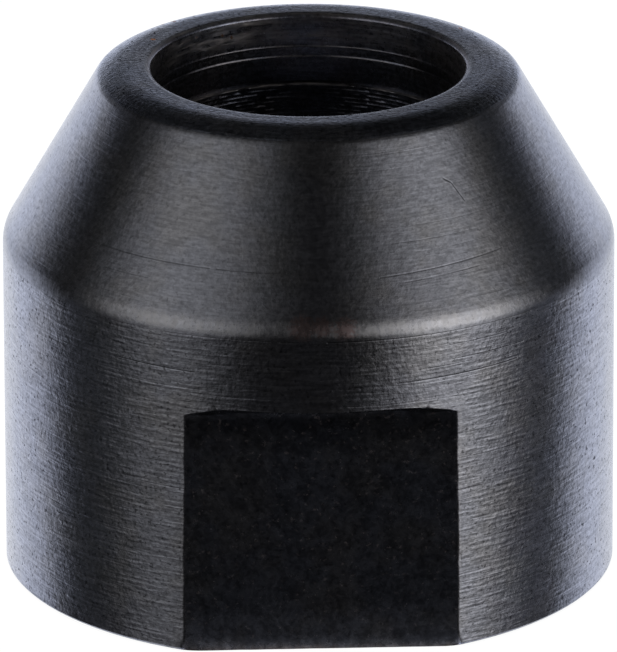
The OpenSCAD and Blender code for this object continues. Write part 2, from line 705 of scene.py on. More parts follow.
@dataclass
class ColletNut:
    """The nut: outside, stepped bore, spanner flats and spindle thread, in mm and degrees.

    Attributes:
        ROWS: Number of edges along each stretch of the outside, and BORE_ROWS of the bore.
        COLUMNS: Number of columns in the stretches of a quarter turn.
        WALL_RIDGES: Depth and height of each ridge in the counterbore.
        RIDGE_ROWS: Rows of one ridge, as rise above its depth and share of its height.
        LAND_GROOVE: Start and end of the groove between two boring marks, as shares of their distance.
        GROOVE_GRAIN: Scales of the noise that breaks up the grooves, across and up, per mm.
        LIP_DIPS: Middle, reach and depth of each dip of the lip.
        WAVERS: Scales along and up, per mm, and share of each noise that makes an edge waver.
        THREAD_FORM: Corners of one turn, as share of the depth, share of the pitch and number of edges.
    """

    WALL_RIDGES: ClassVar = ((1.06, 0.012), (0.76, 0.004), (0.43, 0.005), (0.24, 0.004))
    RIDGE_ROWS: ClassVar = ((-0.06, 0.0), (-0.04, 0.0), (-0.01, 1.0), (0.03, 0.0), (0.05, 0.0))
    LIP_DIPS: ClassVar = ((3.45, 0.75, 0.085), (-3.6, 0.6, 0.05))
    THREAD_FORM: ClassVar = ((0.0, 0.25, 2), (1.0, 0.5625, 4), (1.0, 0.6875, 1), (0.0, 1.0, 4))
    LAND_GROOVE: ClassVar = (0.35, 0.65)
    GROOVE_GRAIN: ClassVar = (3.6, 8.0)
    WAVERS: ClassVar = ((1.3, 1.9, 1.0), (2.0, 4.3, 0.8))
    WAVER_SEED: ClassVar = 5.0
    BORE_ROWS: ClassVar = {"groove": 2, "seat": 6, "ledge": 5, "mouth_side": 4, "mouth_top": 6}
    ROWS: ClassVar = {
        "face": 3,
        "rim": 9,
        "cone": 24,
        "shoulder": 10,
        "wall": 10,
        "fillet": 8,
        "flat": 36,
        "foot": 6,
        "base": 2,
    }
    COLUMNS: ClassVar = (24, 6, 6, 46)
    THREAD_COLUMNS: ClassVar = 216
    FACING_DOWN: ClassVar = -0.9
    SLACK: ClassVar = 0.01
    TINY: ClassVar = 0.001

    node: str = "collet_nut"
    piece: str = "collet_nut_body"
    slot: str = "blackened_steel"
    body_r: float = 9.5
    height: float = 16.07
    face_band: float = 0.3
    nose_angle: float = 30.0
    nose_r: float = 6.365
    rim_top_r: float = 1.62
    rim_side_r: float = 0.59
    rim_turn: float = 30.0
    rim_flat_r: float = 5.59
    shoulder_fillet: float = 1.05
    shoulder_row: float = 0.1
    base_chamfer: float = 0.08
    foot_h: float = 0.5
    foot_round: float = 0.14
    foot_round_h: float = 0.4
    flat_y: float = 8.5
    flat_lean: float = 0.035
    flat_h: float = 8.03
    cutter_r: float = 0.4
    cutter_rise: float = 0.3
    cutter_curve: float = 1.3
    edge_round: float = 0.015
    edge_waver: float = 0.012
    edge_band: float = 1.2
    edge_reach: float = 60.0
    edge_fade: float = 2.0
    lip_round: float = 0.045
    lip_rise: float = 0.004
    lip_waver: float = 1.3
    lip_onset: float = 0.1
    dip_foot: float = 6.6
    dip_top: float = 9.6
    mouth_r: float = 4.875
    mouth_side_r: float = 0.1
    mouth_top_r: float = 0.26
    mouth_turn: float = 45.0
    mouth_depth: float = 2.24
    ledge_round: float = 0.05
    ledge_row: float = 0.04
    wall_step: float = 0.02
    wall_step_depth: float = 1.4
    wall_step_h: float = 0.04
    wall_step_row: float = 0.03
    land_r: float = 4.7
    land_feed: float = 0.137
    land_ridge: float = 0.02
    groove_mean: float = 0.8
    groove_swing: float = 1.3
    groove_least: float = 0.05
    seat_r: float = 6.2
    seat_angle: float = 30.0
    thread_r: float = 7.0
    minor_r: float = 6.459
    thread_pitch: float = 1.0
    thread_len: float = 8.4
    relief_r: float = 7.2
    relief_top: float = 10.0
    entry_r: float = 7.2
    join_gap: float = 0.1
    sharp_angle: float = 24.0

    @classmethod
    def from_frame(cls, record: dict) -> "ColletNut":
        """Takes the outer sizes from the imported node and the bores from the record's mounts.

        Args:
            record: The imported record.

        Returns:
            The nut with those sizes.
        """
        low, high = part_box(cls.node)
        mounts = {mount["name"]: mount for mount in record["mounts"]}
        return cls(
            body_r=(high.x - low.x) / 2.0 / MM,
            height=(high.z - low.z) / MM,
            flat_y=abs(mounts["front_flat"]["pos_m"][1]) / MM,
            mouth_r=mounts["nose_bore"]["dims"]["r_mm"],
            minor_r=mounts["spindle_thread"]["dims"]["r_mm"],
        )

    @property
    def relief_foot(self) -> float:
        """Height at which the flank below the run-out groove reaches the groove's wall."""
        return self.thread_len + self.relief_r - self.minor_r

    @property
    def mouth_floor(self) -> float:
        """Height of the ledge at the bottom of the counterbore."""
        return self.height - self.mouth_depth

    @property
    def mouth_lip(self) -> float:
        """Distance from the axis at which the mouth's rounded edge runs into the nose face."""
        spare = self.mouth_top_r - self.mouth_side_r
        return self.mouth_r + self.mouth_side_r + spare * math.cos(math.radians(self.mouth_turn))

    @property
    def shoulder_foot(self) -> float:
        """Height at which the shoulder's fillet meets the cylinder."""
        slope = math.radians(self.nose_angle)
        corner = self.height - (self.body_r - self.nose_r) / math.tan(slope)
        return corner - self.shoulder_fillet * math.tan(slope / 2.0)

    @property
    def fillet_foot(self) -> float:
        """Height at which the cutter's fillet starts, below the shelf."""
        return self.flat_h - self.cutter_rise

    @property
    def flat_half(self) -> float:
        """Half the width of a flat."""
        return math.sqrt(self.body_r**2 - self.flat_y**2)

    def in_bore(self, place: Vector, radius: float) -> bool:
        """Whether a point lies on the wall of the counterbore, its ledge or the guide land."""
        return place.z > self.relief_top + self.TINY and radius < self.mouth_r + self.TINY

    def flat_depth(self, height: float) -> float:
        """Distance of a flat, or of the fillet above it, from the axis.

        Args:
            height: Height on the wall, in mm.

        Returns:
            The distance, in mm.
        """
        lean = self.flat_lean * min(max(height, 0.0), self.fillet_foot) / self.fillet_foot
        rise = min(max((height - self.fillet_foot) / self.cutter_rise, 0.0), 1.0)
        return self.flat_y + lean + (self.cutter_r - self.flat_lean) * rise**self.cutter_curve

    def draw_bore(self, path: SectionPath) -> None:
        """Draws the section from the run-out groove up through the seat, the land and the counterbore.

        Args:
            path: Section to draw in.
        """
        rows, floor, step_r = self.BORE_ROWS, self.mouth_floor, self.mouth_r - self.wall_step
        step_foot = self.height - self.wall_step_depth
        step_top = step_foot + self.wall_step_h
        seat_top = self.relief_top + (self.seat_r - self.land_r) / math.tan(math.radians(self.seat_angle))
        path.start(self.relief_r, self.relief_foot + self.join_gap)
        path.line(self.relief_r, self.relief_top, rows["groove"])
        path.line(self.seat_r, self.relief_top)
        path.line(self.land_r, seat_top, rows["seat"])
        self.draw_feed_marks(path, seat_top, floor - self.ledge_round)
        path.arc(self.land_r + self.ledge_round, floor - self.ledge_round, 90.0, rows["ledge"])
        for height in (floor, floor + self.ledge_row, step_foot - self.wall_step_row, step_foot):
            path.line(step_r, height)
        for height in (step_top, step_top + self.wall_step_row):
            path.line(self.mouth_r, height)
        for depth, ridge in self.WALL_RIDGES:
            for rise, share in self.RIDGE_ROWS:
                path.line(self.mouth_r - ridge * share, self.height - depth + rise)
        spare = self.mouth_top_r - self.mouth_side_r
        side_z = self.height - self.mouth_top_r + spare * math.sin(math.radians(self.mouth_turn))
        path.line(self.mouth_r, side_z)
        path.arc(self.mouth_r + self.mouth_side_r, side_z, self.mouth_turn, rows["mouth_side"])
        top_z, top_turn = self.height - self.mouth_top_r, 90.0 - self.mouth_turn
        path.arc(self.mouth_lip, top_z, top_turn, rows["mouth_top"])

    def draw_feed_marks(self, path: SectionPath, start: float, end: float) -> None:
        """Draws the guide land with the fine ridges that a boring tool leaves.

        Args:
            path: Section to draw in.
            start: Height at which the land starts.
            end: Height at which the land ends.
        """
        count = round((end - start) / self.land_feed)
        feed = (end - start) / count
        for mark in range(count):
            foot = start + mark * feed
            for share in self.LAND_GROOVE:
                path.line(self.land_r + self.land_ridge, foot + share * feed)
            path.line(self.land_r, foot + feed)

    def draw_outside(self, path: SectionPath) -> None:
        """Draws the section over the nose face, rim, cone, shoulder and cylinder to the base.

        Args:
            path: Section to draw in.
        """
        rows, slope, turn = self.ROWS, math.radians(self.nose_angle), math.radians(self.rim_turn)
        spare = self.rim_top_r - self.rim_side_r
        side_r = self.rim_flat_r + spare * math.sin(turn)
        side_z = self.height - self.rim_top_r + spare * math.cos(turn)
        path.line(self.rim_flat_r, self.height, rows["face"])
        path.arc(self.rim_flat_r, self.height - self.rim_top_r, self.rim_turn, rows["rim"])
        path.arc(side_r, side_z, 90.0 - self.nose_angle - self.rim_turn, rows["rim"])
        shoulder_r = self.body_r - self.shoulder_fillet
        fillet_r = shoulder_r + self.shoulder_fillet * math.cos(slope)
        fillet_top = self.shoulder_foot + self.shoulder_fillet * math.sin(slope)
        last_r, last_z = fillet_r - self.shoulder_row * math.tan(slope), fillet_top + self.shoulder_row
        path.line(last_r, last_z, rows["cone"])
        path.line(fillet_r, fillet_top)
        path.arc(shoulder_r, self.shoulder_foot, self.nose_angle, rows["shoulder"])
        path.line(self.body_r, self.flat_h + self.lip_round, rows["wall"])
        path.line(self.body_r, self.flat_h + self.lip_rise)
        for row in range(rows["fillet"], -1, -1):
            path.line(self.body_r, self.fillet_foot + self.cutter_rise * row / rows["fillet"])
        path.line(self.body_r, self.foot_h, rows["flat"])
        path.line(self.body_r, self.base_chamfer, rows["foot"])
        path.line(self.body_r - self.base_chamfer, 0.0)
        path.line(self.entry_r + self.join_gap, 0.0, rows["base"])

    def revolve(self, mesh: bmesh.types.BMesh) -> None:
        """Spins the drawn section round the axis, with columns packed at the edges of the flats.

        Args:
            mesh: Mesh that holds the section.
        """
        edge = self.edge_angle(0.0)
        corners = (0.0, edge - self.edge_band, edge, edge + self.edge_band, 90.0)
        quarter = [(end - start, count) for start, end, count in zip(corners, corners[1:], self.COLUMNS)]
        half = quarter + quarter[::-1]
        strip = mesh.verts[:] + mesh.edges[:]
        for angle, count in half + half:
            strip = spin(mesh, strip, angle, count)
        bmesh.ops.remove_doubles(mesh, verts=mesh.verts, dist=MERGE_DIST)

    def edge_angle(self, height: float) -> float:
        """Angle from the middle of a flat at which the flat, or the fillet above it, meets the round wall.

        Args:
            height: Height on the wall, in mm.

        Returns:
            The angle, in degrees.
        """
        angle = math.degrees(math.acos(self.flat_depth(height) / self.body_r))
        if height > self.flat_h:
            foot = self.edge_angle(0.0)
            angle += (foot - angle) * min((height - self.flat_h) / self.edge_fade, 1.0)
        return angle

    def follow_edges(self, mesh: bmesh.types.BMesh) -> None:
        """Moves the columns of the wall round the nut, so that one column runs along each edge of the flats.

        Args:
            mesh: Mesh of the revolved outside.
        """
        foot, reach = self.edge_angle(0.0), self.edge_reach
        for vert in mesh.verts:
            place = vert.co / MM
            radius = math.hypot(place.x, place.y)
            if radius < self.body_r - self.base_chamfer - self.SLACK or place.z > self.shoulder_foot:
                continue
            angle = math.degrees(math.atan2(abs(place.x), abs(place.y)))
            edge = self.edge_angle(place.z)
            if angle <= foot:
                angle *= edge / foot
            elif angle < reach:
                angle = edge + (angle - foot) * (reach - edge) / (reach - foot)
            turn = math.radians(angle)
            vert.co.x = math.copysign(radius * math.sin(turn), place.x) * MM
            vert.co.y = math.copysign(radius * math.cos(turn), place.y) * MM

    def break_ridges(self, mesh: bmesh.types.BMesh) -> None:
        """Makes the grooves between the guide land's ridges shallower in places, so that they look dashed.

        Args:
            mesh: Mesh of the revolved bore.
        """
        for vert in mesh.verts:
            place = vert.co / MM
            radius = math.hypot(place.x, place.y)
            if self.land_r + self.TINY < radius < self.land_r + self.land_ridge + self.TINY:
                share = self.groove_mean + self.groove_swing * noise_at(place, *self.GROOVE_GRAIN)
                deep = self.land_r + self.land_ridge * min(max(share, self.groove_least), 1.0)
                vert.co.xy = vert.co.xy * deep / radius

    def mill_flats(self, mesh: bmesh.types.BMesh) -> None:
        """Presses the lower wall in to the two flats, with the cutter's fillet below the shelf.

        Args:
            mesh: Mesh of the revolved outside.
        """
        for vert in mesh.verts:
            place = vert.co / MM
            radius = math.hypot(place.x, place.y)
            wall_r = self.body_r - self.SLACK
            if radius > wall_r - self.base_chamfer and place.z < self.flat_h + self.SLACK:
                self.press_in(vert, place, radius)
            if radius > wall_r and place.z < self.shoulder_foot:
                vert.co.z -= self.lip_dip(place) * MM

    def lip_dip(self, place: Vector) -> float:
        """How far the lip over the flats, and the wall next to it, dips at a point, in mm.

        Args:
            place: The point, in mm.

        Returns:
            The depth of the dip, in mm.
        """
        below = Fade(self.dip_foot, self.fillet_foot).at(place.z)
        above = Fade(self.dip_top, self.flat_h).at(place.z)
        dips = (deep * near(place.x - middle, reach) for middle, reach, deep in self.LIP_DIPS)
        return sum(dips) * (below * above)

    def press_in(self, vert: bmesh.types.BMVert, place: Vector, radius: float) -> None:
        """Moves one vertex of the lower wall to the flat, the fillet or the lip that it belongs to.

        Args:
            vert: Vertex to move.
            place: Its place, in mm.
            radius: Its distance from the axis, in mm.
        """
        facing = max(abs(place.y) / radius, self.TINY)
        side = math.copysign(self.WAVER_SEED, place.y)
        waver = self.edge_waver * sum(
            share * noise.noise(Vector((place.x * along, side, place.z * up)))
            for along, up, share in self.WAVERS
        )
        level = place.z
        if place.z > self.flat_h + self.TINY:
            proud = (self.body_r * facing - self.flat_y - self.cutter_r) / self.lip_onset
            proud = min(max(proud, 0.0), 1.0)
            cut_radius = radius - self.lip_round * proud
            level += self.lip_waver * waver * proud
        else:
            depth = self.flat_depth(place.z) + waver
            rounding = self.edge_round + self.foot_round * Fade(self.foot_round_h, 0.0).at(place.z)
            cut_radius = soft_least(radius, depth / facing, rounding)
        if cut_radius < radius - 0.1 * self.TINY:
            vert.co = Vector((place.x * cut_radius / radius, place.y * cut_radius / radius, level)) * MM

    def cut_thread(self) -> bmesh.types.BMesh:
        """Winds the thread as a helix and trims it between the base and the run-out groove.

        Returns:
            A mesh of the threaded wall, open at both ends.
        """
        pitch, deep, spare_turns = self.thread_pitch, self.thread_r - self.minor_r, 2
        mesh = bmesh.new()
        path = SectionPath(mesh)
        path.start(self.minor_r, -spare_turns * pitch)
        for turn in range(math.ceil(self.relief_foot / pitch) + 2 * spare_turns):
            foot = (turn - spare_turns) * pitch
            for share, rise, edges in self.THREAD_FORM:
                path.line(self.minor_r + deep * share, foot + rise * pitch, edges)
        columns = self.THREAD_COLUMNS
        spin(mesh, mesh.verts[:] + mesh.edges[:], 360.0, columns, rise=pitch * MM / columns)
        bmesh.ops.remove_doubles(mesh, verts=mesh.verts, dist=MERGE_DIST)
        self.trim(mesh, 0.0, -1.0)
        self.trim(mesh, self.relief_foot, 1.0)
        for vert in mesh.verts:
            radius = math.hypot(vert.co.x, vert.co.y) / MM
            height = vert.co.z / MM
            flank = min(self.minor_r + height - self.thread_len, self.relief_r)
            vert.co.xy = vert.co.xy * max(radius, self.entry_r - height, flank) / radius
        return mesh

    @staticmethod
    def trim(mesh: bmesh.types.BMesh, height: float, side: float) -> None:
        """Cuts a mesh off at a height.

        Args:
            mesh: Mesh to cut.
            height: Height of the cut, in mm.
            side: 1 where the part above goes, -1 where the part below goes.
        """
        bmesh.ops.bisect_plane(
            mesh,
            geom=mesh.verts[:] + mesh.edges[:] + mesh.faces[:],
            dist=0.1 * MERGE_DIST,
            plane_co=(0.0, 0.0, height * MM),
            plane_no=(0.0, 0.0, side),
            clear_outer=True,
        )

    def join(self, mesh: bmesh.types.BMesh, thread: bmesh.types.BMesh) -> None:
        """Adds the threaded wall to the nut and closes the two rings between them.

        Args:
            mesh: Mesh of the nut, open at the base and at the run-out groove.
            thread: Mesh of the threaded wall.
        """
        wall = finished_mesh("thread_wall", thread)
        mesh.from_mesh(wall)
        bpy.data.meshes.remove(wall)
        open_edges = [edge for edge in mesh.edges if edge.is_boundary]
        middle = self.thread_len * MM / 2.0
        for above in (False, True):
            ring = [edge for edge in open_edges if (edge.verts[0].co.z > middle) == above]
            bmesh.ops.bridge_loops(mesh, edges=ring)

    def zone_of(self, face: bmesh.types.BMFace) -> Zone:
        """Finish that a face takes, from its place and the way it faces.

        Args:
            face: Face of the nut.

        Returns:
            The zone that the face belongs to.
        """
        middle = face.calc_center_median() / MM
        radius = math.hypot(middle.x, middle.y)
        inside = self.seat_r if middle.z < self.mouth_floor else self.mouth_r + self.mouth_side_r
        if middle.z > self.relief_top - self.TINY and radius < inside + self.TINY:
            return Zone.BORE
        on_base = face.normal.z < self.FACING_DOWN and middle.z < self.SLACK
        if middle.z > self.height - self.face_band or on_base:
            return Zone.FACE
        if middle.z > self.shoulder_foot:
            return Zone.CONE
        if radius < self.relief_r + self.TINY:
            return Zone.THREAD
        off_wall = radius < self.body_r - 2.0 * self.SLACK
        milled = off_wall and self.base_chamfer / 2.0 < middle.z < self.flat_h + 2.0 * self.SLACK
        return Zone.MILLED if milled else Zone.CYLINDER

    def build(self) -> bpy.types.Object:
        """Models the nut.

        Returns:
            The finished object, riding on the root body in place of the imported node.
        """
        mesh = bmesh.new()
        path = SectionPath(mesh)
        self.draw_bore(path)
        self.draw_outside(path)
        self.revolve(mesh)
        self.break_ridges(mesh)
        self.follow_edges(mesh)
        self.mill_flats(mesh)
        self.join(mesh, self.cut_thread())
        bmesh.ops.remove_doubles(mesh, verts=mesh.verts, dist=MERGE_DIST)
        bmesh.ops.recalc_face_normals(mesh, faces=mesh.faces)
        loose = sum(not edge.is_manifold for edge in mesh.edges)
        Patina(self).keep(mesh)
        for face in mesh.faces:
            face.smooth = True
            face.material_index = self.zone_of(face).value
        data = finished_mesh(self.piece, mesh)
        data.set_sharp_from_angle(angle=math.radians(self.sharp_angle))
        nut = add_object(self.piece, data)
        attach(nut, "root")
        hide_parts(self.node)
        LOG.info("%s: %d faces, %d open edges", nut.name, len(data.polygons), loose)
        return nut

    def dress(self, nut: bpy.types.Object) -> None:
        """Gives each zone its finish.

        Args:
            nut: The modelled nut.
        """
        rust = (0.17, 0.07, 0.035)
        brown = (0.05, 0.03, 0.022)
        stain = (0.25, 0.19, 0.18)
        bare = (0.62, 0.61, 0.6)
        finishes = {
            Zone.CYLINDER: SteelFinish(
                name="blackened_turned_steel",
                feed_depth=0.0035,
                streak_depth=0.004,
                score_depth=0.002,
                mottle_depth=0.009,
                pits=0.55,
                swing=0.32,
                scratches=(
                    Scratch((14.0, 8.88), (39.5, 8.95), 0.04, 0.006, 0.5),
                    Scratch((25.0, 9.42), (41.0, 9.44), 0.03, 0.004),
                    Scratch((20.0, 9.25), (29.0, 9.27), 0.03, 0.004),
                    Scratch((-40.0, 9.2), (-24.0, 9.16), 0.03, 0.004),
                    Scratch((-30.0, 10.35), (-4.0, 10.36), 0.035, 0.004, 0.5),
                    Scratch((1.0, 10.34), (43.0, 10.36), 0.04, 0.006, 0.65),
                ),
            ),
            Zone.CONE: SteelFinish(
                name="blackened_cone_steel",
                feed_depth=0.0006,
                streak_length=0.32,
                streak_width=0.07,
                streak_depth=0.001,
                score_depth=0.001,
                grain_size=0.1,
                grain_depth=0.004,
                mottle_depth=0.005,
                pits=0.25,
                swing=0.21,
                worn_rough=0.33,
                scratches=(
                    Scratch((31.7, 14.42), (33.4, 14.28), 0.045, 0.005),
                    Scratch((33.6, 14.25), (35.6, 13.72), 0.04, 0.004),
                    Scratch((-50.0, 12.23), (-23.0, 12.24), 0.035, 0.003, 0.38),
                    Scratch((-21.5, 12.24), (-7.0, 12.24), 0.03, 0.003, 0.3),
                    Scratch((-47.0, 11.7), (-36.0, 11.72), 0.03, 0.002, 0.22),
                    Scratch((12.0, 12.05), (41.0, 12.24), 0.035, 0.003, 0.2),
                    Scratch((17.0, 11.86), (34.0, 11.96), 0.035, 0.002, 0.2),
                ),
                blemishes=(
                    Blemish((0.04, -9.36, 10.84), 0.1, brown, 1.0),
                    Blemish((-0.6, -9.36, 10.78), 0.9, stain, 1.0),
                    Blemish((0.0, -9.37, 10.8), 0.7, stain, 1.0),
                    Blemish((0.7, -9.38, 10.74), 0.8, stain, 1.0),
                ),
            ),
            Zone.FACE: SteelFinish(
                name="blackened_faced_steel",
                sheen=(0.188, 0.199, 0.23),
                roughness=0.2,
                streak_depth=0.0015,
                grain_size=0.12,
                grain_depth=0.014,
                pits=0.6,
                swing=0.45,
                blemishes=(
                    Blemish((-4.02, 4.47, 16.01), 0.19, rust),
                    Blemish((-4.37, 4.34, 15.965), 0.15, rust),
                    Blemish((-4.7, 2.59, 16.07), 0.18, rust),
                    Blemish((4.89, 3.26, 16.04), 0.15, rust),
                ),
            ),
            Zone.MILLED: SteelFinish(
                name="blackened_milled_steel",
                sheen=(0.115, 0.121, 0.143),
                tint=(0.135, 0.127, 0.12),
                roughness=0.22,
                scatter=0.03,
                streak_length=0.25,
                streak_width=0.25,
                grain_size=0.11,
                grain_depth=0.0065,
                mottle_depth=0.005,
                pits=0.4,
                specks=0.26,
                swing=0.35,
                worn_and_highlight=(0.6, 0.5, 0.47),
            ),
            Zone.BORE: SteelFinish(
                name="blackened_bored_steel",
                sheen=(0.135, 0.14, 0.165),
                tint=(0.17, 0.145, 0.135),
                roughness=0.27,
                scatter=0.03,
                streak_length=0.8,
                streak_depth=0.0045,
                grain_size=0.1,
                grain_depth=0.003,
                swing=0.4,
                worn_and_highlight=(0.45, 0.405, 0.375),
                worn_grain=(1.3, 1.3, 9.5),
                worn_least=0.0,
                blemishes=(
                    Blemish((-3.33, 3.57, 15.78), 0.13, brown),
                    Blemish((-2.5, 4.19, 15.62), 0.12, brown),
                    Blemish((-2.2, 4.35, 15.5), 0.14, brown),
                    Blemish((4.82, 0.87, 15.95), 0.09, bare, 1.0),
                ),
            ),
            Zone.THREAD: SteelFinish(
                name="blackened_threaded_steel",
                sheen=(0.18, 0.18, 0.19),
                roughness=0.26,
                streak_length=2.0,
                streak_depth=0.003,
                grain_depth=0.004,
            ),
        }
        for zone in Zone:
            nut.data.materials.append(BlackenedSteel(finishes[zone]).build())
            LOG.info("%s: %s", nut.name, finishes[zone].name)


@dataclass(frozen=True)
class Patina:
    """Wear with painted highlights, and painted light and shade on the sheen, over the nut, worked out from
    the place of a point, in mm and degrees.

    A field that ends in reach says how far a rubbed edge or a painted highlight reaches, one that ends in
    loss how much of its oxide is gone, and one that ends in highlight how strong a painted highlight is, with
    any wear under it. The fields that end in even, left, rear or sides are shares of a sum that varies round
    the nut.
    """

    SHOULDER_FOOT: ClassVar = Fade(0.03, 0.22)
    SHOULDER_TOP: ClassVar = Fade(0.66, 0.38)
    SHOULDER_SIDES: ClassVar = Fade(30.0, 58.0, 1.0, 0.05)
    LINE_ENDS: ClassVar = Fade(3.8, 3.1)
    RUBBED_FOOT: ClassVar = Fade(1.05, 0.7)
    RUBBED_END: ClassVar = Fade(-0.97, -0.72)
    BORE_MIDDLE: ClassVar = Fade(3.2, 1.2)
    BORE_TOP: ClassVar = Fade(0.9, 0.4)
    BORE_DEEP: ClassVar = Fade(0.6, 1.9)
    STEP_BAND: ClassVar = Fade(0.06, 0.03)
    STEP_ENDS: ClassVar = Fade(3.2, 3.8, 0.0, 0.6)
    FACE_EDGE: ClassVar = Fade(0.3, 0.08)
    CONE_FOOT: ClassVar = Fade(0.75, 0.45)
    CONE_SIDES: ClassVar = Fade(48.0, 62.0, 0.0, 0.3)
    FLAT_LOW: ClassVar = Fade(1.7, 0.4)
    FLAT_FOOT: ClassVar = Fade(0.5, 0.02, 0.0, 3.2)
    FLAT_TOP: ClassVar = Fade(6.2, 7.5, 0.0, 0.45)
    FLAT_CORNER: ClassVar = Fade(-0.15, 0.05, 0.0, 0.9)
    RUB_GRAIN: ClassVar = (1.1, 5.0)

    nut: ColletNut
    patch_mean: float = 0.75
    patch_swing: float = 0.45
    patch_scale: float = 0.9
    shoulder_inside: float = 8.8
    shoulder_wear_and_highlight: float = 0.9
    mouth_drop: float = 0.02
    mouth_inset: float = 0.09
    mouth_reach: float = 0.07
    mouth_wear_and_highlight: float = 0.9
    mouth_even: float = 0.75
    mouth_highlight_left: float = 0.25
    mouth_highlight_rear: float = 0.3
    corner_reach: float = 0.05
    corner_loss: float = 0.35
    lip_rise: float = 0.02
    lip_reach: float = 0.04
    lip_loss: float = 0.3
    flat_slack: float = 0.05
    wall_slack: float = 0.02
    shoulder_slack: float = 0.03
    foot_reach: float = 0.13
    ledge_inset: float = 0.015
    ledge_reach: float = 0.05
    line_drop: float = 0.01
    line_reach: float = 0.02
    step_highlight: float = 0.4
    first_ridge_highlight: float = 0.5
    last_ridge_highlight: float = 0.4
    rub_even: float = 0.45
    rub_and_light_left: float = 0.8
    rub_and_light_sides: float = 0.7
    rub_bias: float = 0.45
    step_middle: float = 1.37
    top_gain: float = 0.25
    top_dip: float = 0.45
    deep_drop: float = 0.3
    deep_dip: float = 0.54
    face_band: float = 0.4
    face_painted_light: float = 1.12
    face_light_lean: float = 0.9
    chamfer_band: float = 0.2
    chamfer_painted_shade: float = 0.5
    rear_share: float = 0.25

    def keep(self, mesh: bmesh.types.BMesh) -> None:
        """Keeps the wear with its painted highlights, and the painted light and shade on the sheen, on each
        vertex.

        Args:
            mesh: Mesh of the whole nut.
        """
        wear_and_highlight = mesh.verts.layers.float.new("wear_and_highlight")
        shade = mesh.verts.layers.float.new("shade")
        for vert in mesh.verts:
            place = vert.co / MM
            radius = math.hypot(place.x, place.y)
            vert[wear_and_highlight] = self.wear_and_highlight_at(place, radius)
            vert[shade] = self.painted_light_and_shade_at(place, radius)

    @staticmethod
    def aside(place: Vector) -> float:
        """Angle of a point from the middle of the nearer flat."""
        return abs(math.degrees(math.atan2(place.x, abs(place.y))))

    def wear_and_highlight_at(self, place: Vector, radius: float) -> float:
        """Wear of the oxide at a point of the surface, with painted highlights on the shoulder, the mouth and
        the bore's edges and upper wall.

        Args:
            place: The point.
            radius: Its distance from the axis.

        Returns:
            Share of the worn colour, 0 to 1, for rubbed off oxide and for painted highlights.
        """
        nut = self.nut
        patchy = self.patch_mean + self.patch_swing * noise_at(place, self.patch_scale, self.patch_scale)
        if nut.in_bore(place, radius):
            return max(self.bore_edge_highlights(place, radius), self.bore_rubbed_and_painted_light(place, radius)) * patchy
        # The shoulder band and the mouth rim are partly rubbed and partly painted highlights.
        wear_and_highlights = [self.shoulder_wear_and_highlight * self.shoulder_share(place, radius)]
        wear_and_highlights.append(self.mouth_wear_and_highlight * self.mouth_share(place, radius))
        if place.z < nut.flat_h:
            beside = math.hypot(abs(place.x) - nut.flat_half, abs(place.y) - nut.flat_y)
            wear_and_highlights.append(self.corner_loss * near(beside, self.corner_reach))
        if abs(place.x) < nut.flat_half:
            over_lip = math.hypot(place.z - nut.flat_h - self.lip_rise, radius - nut.body_r)
            wear_and_highlights.append(self.lip_loss * near(over_lip, self.lip_reach))
            if abs(place.y) < nut.flat_y + self.flat_slack:
                # Towards the foot of a flat the lighter worn colour is partly rubbed oxide and partly painted
                # light.
                wear_and_highlights.append(near(place.z, self.foot_reach))
        return max(wear_and_highlights) * patchy

    def shoulder_share(self, place: Vector, radius: float) -> float:
        """Share of the band round the shoulder, partly rubbed and partly a painted highlight, which fades
        towards the sides.

        Args:
            place: A point of the surface.
            radius: Its distance from the axis.

        Returns:
            The share, 0 to 1.
        """
        if radius <= self.shoulder_inside:
            return 0.0
        band = place.z - self.nut.shoulder_foot
        across = self.SHOULDER_FOOT.at(band) * self.SHOULDER_TOP.at(band)
        return across * self.SHOULDER_SIDES.at(self.aside(place))

    def mouth_share(self, place: Vector, radius: float) -> float:
        """Share of the rubbed rim round the mouth, with a painted highlight that makes it stronger on the
        left and at the rear.

        Args:
            place: A point of the surface.
            radius: Its distance from the axis.

        Returns:
            The share, about 0 to 1.
        """
        down = place.z - self.nut.height + self.mouth_drop
        gap = math.hypot(down, radius - self.nut.mouth_lip + self.mouth_inset)
        left, rear = self.mouth_highlight_left * place.x / radius, self.mouth_highlight_rear * max(place.y / radius, 0.0)
        return near(gap, self.mouth_reach) * (self.mouth_even - left + rear)

    def bore_edge_highlights(self, place: Vector, radius: float) -> float:
        """Painted highlights on the ledge, the step and the ridges in the bore, 0 to 1.

        Args:
            place: A point of the surface.
            radius: Its distance from the axis.

        Returns:
            Share of the worn colour that paints them.
        """
        nut = self.nut
        depth = nut.height - place.z
        ledge = math.hypot(radius - nut.land_r - self.ledge_inset, depth - nut.mouth_depth - self.ledge_inset)
        inner = self.LINE_ENDS.at(abs(place.x))
        lines = (
            (nut.wall_step_depth, self.step_highlight * inner),
            (nut.WALL_RIDGES[0][0] + self.line_drop, self.first_ridge_highlight * inner),
            (nut.WALL_RIDGES[-1][0] + self.line_drop, self.last_ridge_highlight),
        )
        line_highlights = (loss * near(depth - middle, self.line_reach) for middle, loss in lines)
        return max(near(ledge, self.ledge_reach), *line_highlights)

    def bore_rubbed_and_painted_light(self, place: Vector, radius: float) -> float:
        """Rubbed streaks on the wall above the ridges, with painted light that makes them stronger on the
        left, 0 to 1.

        Args:
            place: A point of the surface.
            radius: Its distance from the axis.

        Returns:
            Share of the worn colour there, for rubbed oxide and painted light.
        """
        side = place.x / radius
        strength = self.rub_even - self.rub_and_light_left * side + self.rub_and_light_sides * abs(side)
        patches = max(noise_at(place, *self.RUB_GRAIN) + self.rub_bias, 0.0)
        above_ridges = self.RUBBED_FOOT.at(self.nut.height - place.z)
        return above_ridges * patches * (strength * self.RUBBED_END.at(side))

